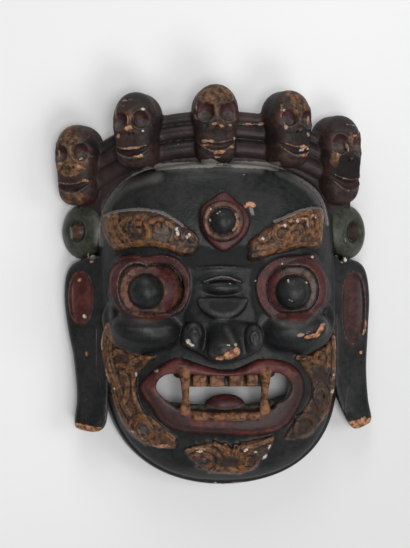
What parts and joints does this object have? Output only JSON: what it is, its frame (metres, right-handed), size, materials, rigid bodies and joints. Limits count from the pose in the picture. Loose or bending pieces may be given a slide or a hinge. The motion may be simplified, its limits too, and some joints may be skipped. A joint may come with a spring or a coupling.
{
  "type": "carved dance mask",
  "caption": "Carved and painted wooden dance mask with a wrathful three-eyed face, a crown of skulls, long ears and an open toothed mouth, hollow behind.",
  "frame": {"origin": "centre of the footprint on the surface the mask lies on", "axes": "+Z out of the face, +Y towards the crown, +X to the right of someone looking at the face"},
  "size_m": [0.3226, 0.3993, 0.137],
  "materials": {
    "lacquered_wood": "black, dark red, ochre and green paint under worn satin varnish, with bare wood at the chips"
  },
  "bodies": {
    "root": {"mask": "lacquered_wood"}
  },
  "joints": []
}
